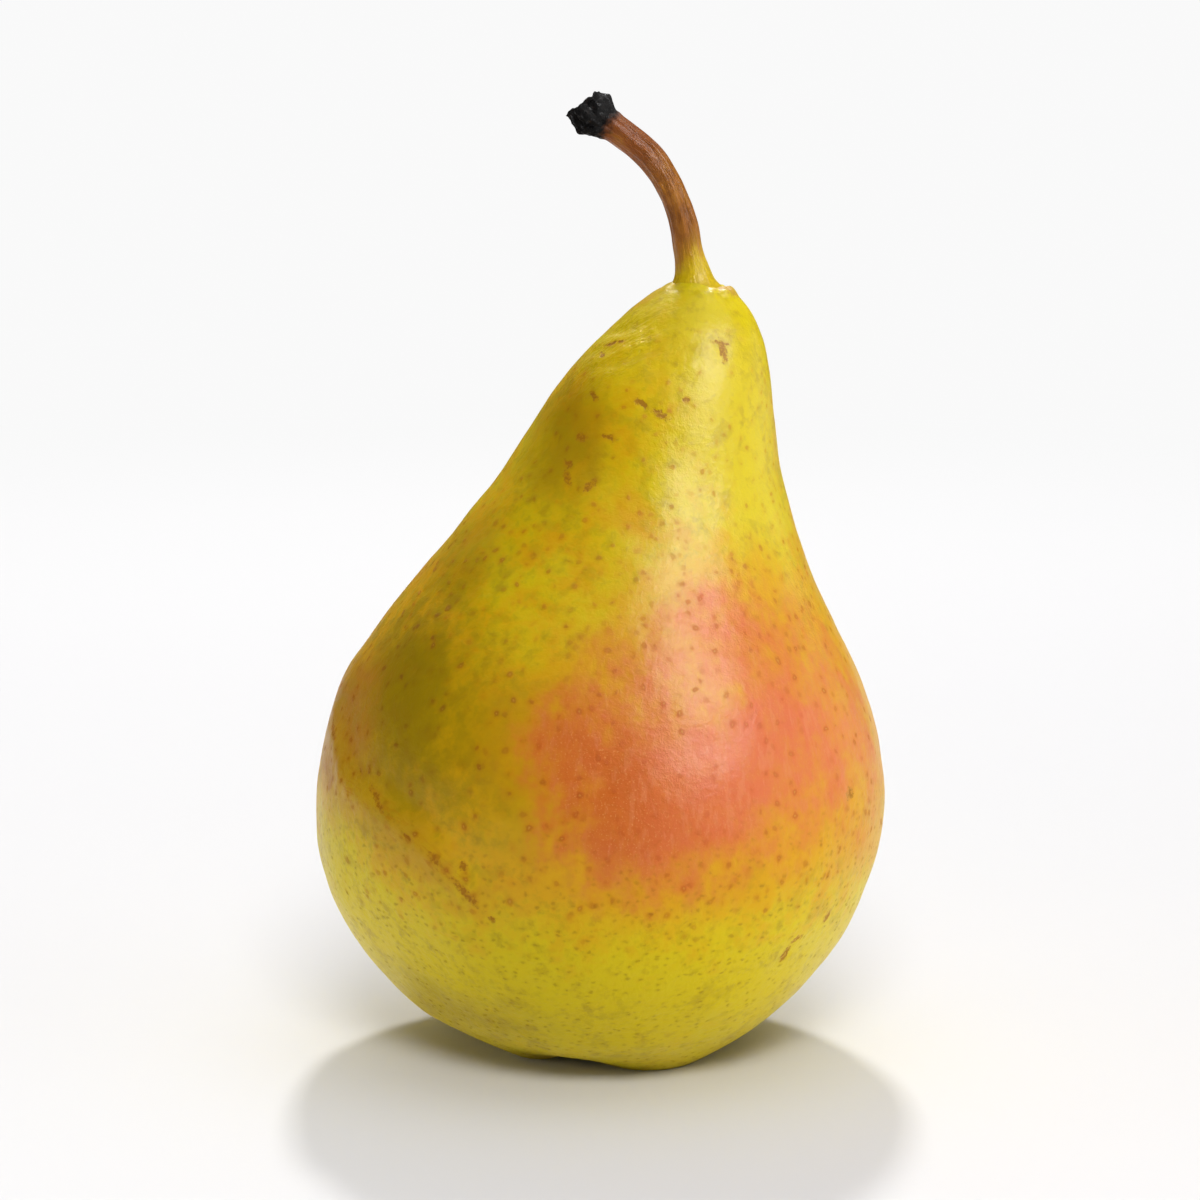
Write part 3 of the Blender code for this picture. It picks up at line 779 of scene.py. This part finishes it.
def makeTuft(shift):
    # A low dome with thin dried filaments that splay down and outwards from it, each a tapering bent tube:
    # start + outer * lean * length * t (0.4 + 0.6 t), and down by length * t
    draw = np.random.default_rng(41)
    middle = np.array([calyx["lean"], 0.0, calyx["floor"] - 0.3])
    count, size = calyx["filaments"], calyx["domeRadius"]
    turn = np.arange(count) * goldenAngle
    spread = np.sqrt((np.arange(count) + 0.5) / count)
    outer = np.stack([np.cos(turn), np.sin(turn), 0 * turn], axis=-1)
    start = middle + outer * (spread * size * 0.75)[:, None] - (0, 0, 0.45)
    lean = 0.15 + 0.75 * spread * draw.uniform(0.6, 1.2, count)
    length = calyx["filamentLength"] * draw.uniform(0.55, 1.0, count)
    t = np.linspace(0, 1, calyx["filamentRings"])[None, :, None]
    bend = outer[:, None, :] * (lean[:, None, None] * length[:, None, None] * t * (0.4 + 0.6 * t))
    path = start[:, None, :] + bend - np.array([0, 0, 1.0]) * length[:, None, None] * t
    a = np.linspace(0, 2 * math.pi, calyx["filamentSides"], endpoint=False)
    circle = np.stack([np.cos(a), np.sin(a), 0 * a], axis=-1)
    radius = calyx["filamentRadius"] * (1 - 0.45 * t + 0.6 * np.exp(-((t - 0.93) / 0.06) ** 2))
    tubes = path[:, :, None, :] + circle * radius[..., None]
    # the dome: a ball flattened from above and made uneven by lumps
    up = np.linspace(0.02, math.pi - 0.02, calyx["domeRows"])[:, None]
    around = np.linspace(0, 2 * math.pi, calyx["domeColumns"], endpoint=False)[None, :]
    dome = size * np.stack([np.sin(up) * np.cos(around), np.sin(up) * np.sin(around),
                            calyx["domeFlatness"] * np.cos(up) + 0 * around], axis=-1)
    dome = dome * (1 + 0.07 * lumps(dome, 0.8, 42))[..., None] + middle - (0, 0, calyx["domeFlatness"] * size)
    return closedTubes("stamens", [dome - shift, *(tubes - shift)])


def driedLook(name, dark, pale, size):
    # Dull dried matter, mottled from dark to pale
    look = Look(bpy.data.materials.new(name))
    place = look.here()
    mottle = look.noise(place, size, 4.0, 0.65)
    colour = look.mix(look.ramp(mottle, 0.35, 0.7), dark, pale)
    crinkle = look.noise(place, size * 0.4, 3.0, 0.6) * 0.12
    return look.finish(crinkle, 0.8, Base_Color=colour, Roughness=mottle * 0.2 + 0.6)


print("skin")
skinMesh, shift = makeSkin()
addPiece("skin", skinMesh, skinLook(), "pear_body")
print("stem")
addPiece("stemWood", makeStem(shift), stemLook(), "stem")
print("calyx")
sepalLook = driedLook("driedSepal", *calyx["sepalLook"])
for number in range(len(calyx["lengths"])):
    addPiece(f"sepalLeaf{number + 1}", makeSepal(number, shift), sepalLook, f"sepal_{number + 1}")
stamenLook = driedLook("driedStamens", *calyx["stamenLook"])
addPiece("stamens", makeTuft(shift), stamenLook, "stamen_tuft")


# The floor, the lamps and the camera

studio = {
    "aim": (0.0, 0.0, 0.0562), "distance": 0.432, "elevation": 10, "lens": 105, "sensor": 36,
    # the floor: half its side, its colour near the fruit, and where it turns into an even white
    "floor": 0.7, "floorColour": (0.68, 0.675, 0.68), "floorFades": (0.25, 0.64), "backdrop": 0.95,
    # lamps: name, degrees round and up, distance, width, height, power, whether it lights and whether it
    # shines, and what it falls on
    "lamps": [
        ("backTop", 90, 47.3, 1.2, 0.11, 0.11, 8.8, (True, True), "all"),
        ("topShine", 90, 50, 1.2, 0.3, 0.3, 7.0, (False, True), "all"),
        ("frontRight", -40, 26.5, 0.9, 0.5, 0.7, 4.9, (True, False), "fruit"),
        ("sheen", -40, 37.5, 0.9, 0.54, 0.64, 18.0, (False, True), "all"),
        ("leftFill", -138, 8, 1.0, 0.5, 0.5, 0.6, (True, False), "all"),
        ("rightEdge", 20, 4, 0.6, 0.5, 0.3, 0.7, (False, True), "all"),
        ("leftBack", 178, 5, 0.8, 0.5, 0.25, 1.35, (True, False), "all"),
        ("floorFront", -86, 40, 1.0, 0.4, 0.3, 6.6, (True, False), "floor"),
    ],
    # soft lobes of white in the surroundings: degrees round and up, width in degrees, strength
    "lobes": [(-15, 6, 22, 1.6), (0, 85, 30, 1.3), (-68, 71, 22, 0.9), (90, 45, 28, 0.5)],
    "surroundings": 0.015,
}


def toward(turn, up):
    # Unit vector in a direction given in degrees round and up
    turn, up = math.radians(turn), math.radians(up)
    return Vector((math.cos(up) * math.cos(turn), math.cos(up) * math.sin(turn), math.sin(up)))


def makeStudio():
    # The camera, the floor, and soft lamps that face the aim from all round
    scene = bpy.context.scene
    aim = Vector(studio["aim"])
    camera = bpy.data.cameras.new("camera")
    camera.lens, camera.sensor_width = studio["lens"], studio["sensor"]
    camera.clip_end = 100.0
    eye = bpy.data.objects.new("camera", camera)
    eye.location = aim + toward(-90, studio["elevation"]) * studio["distance"]
    eye.rotation_euler = (math.radians(90 - studio["elevation"]), 0, 0)
    scene.collection.objects.link(eye)
    scene.camera = eye
    fruit = [piece for piece in scene.objects if piece.type == "MESH"]
    floor = makeFloor()
    for name, turn, up, distance, width, height, power, (lights, shines), target in studio["lamps"]:
        light = bpy.data.lights.new(name, "AREA")
        light.shape, light.size, light.size_y = "RECTANGLE", width, height
        light.energy = power
        lamp = bpy.data.objects.new(name, light)
        lamp.location = aim + toward(turn, up) * distance
        lamp.rotation_euler = toward(turn, up).to_track_quat("Z", "Y").to_euler()
        lamp.visible_diffuse, lamp.visible_glossy = lights, shines
        scene.collection.objects.link(lamp)
        if target != "all":
            # the floor alone, or the fruit alone
            lit = bpy.data.collections.new(name)
            for piece in [floor] if target == "floor" else fruit:
                lit.objects.link(piece)
            lamp.light_linking.receiver_collection = lit


def makeFloor():
    # Lit near the fruit, and even in brightness further off
    half = studio["floor"]
    mesh = bpy.data.meshes.new("floor")
    corners = [(-half, -half, 0), (half, -half, 0), (half, half, 0), (-half, half, 0)]
    mesh.from_pydata(corners, [], [(0, 1, 2, 3)])
    floor = bpy.data.objects.new("floor", mesh)
    bpy.context.scene.collection.objects.link(floor)
    look = Look(bpy.data.materials.new("paleFloor"))
    reach = look.vector("LENGTH", look.node("ShaderNodeTexCoord", output="Object"), output="Value")
    far = look.ramp(reach, *studio["floorFades"])
    black, glow = (0.0, 0.0, 0.0), [studio["backdrop"]] * 3
    pale = look.mix(far, studio["floorColour"], black)
    mesh.materials.append(look.finish(Base_Color=pale, Emission_Color=look.mix(far, black, glow),
                                      Emission_Strength=1.0, Roughness=1.0, Specular_IOR_Level=0.0))
    return floor


def makeWorld():
    # A dark room with soft lobes of white: strength * exp(k (direction . way - 1))
    look = Look(bpy.data.worlds.new("studio"))
    bpy.context.scene.world = look.owner
    way = look.node("ShaderNodeTexCoord", output="Generated")
    bright = studio["surroundings"]
    for turn, up, width, strength in studio["lobes"]:
        near = look.vector("DOT_PRODUCT", way, toward(turn, up), output="Value")
        bright = ((near - 1) / (1 - math.cos(math.radians(width)))).exp() * strength + bright
    seen = look.node("ShaderNodeLightPath", output="Is Camera Ray")
    background = look.tree.nodes["Background"]
    join(look.tree, background.inputs["Color"], (1.0, 1.0, 1.0))
    join(look.tree, background.inputs["Strength"], seen * studio["backdrop"] + (1 - seen) * bright)


print("studio")
makeStudio()
makeWorld()
bpy.context.scene.view_settings.view_transform = "Standard"
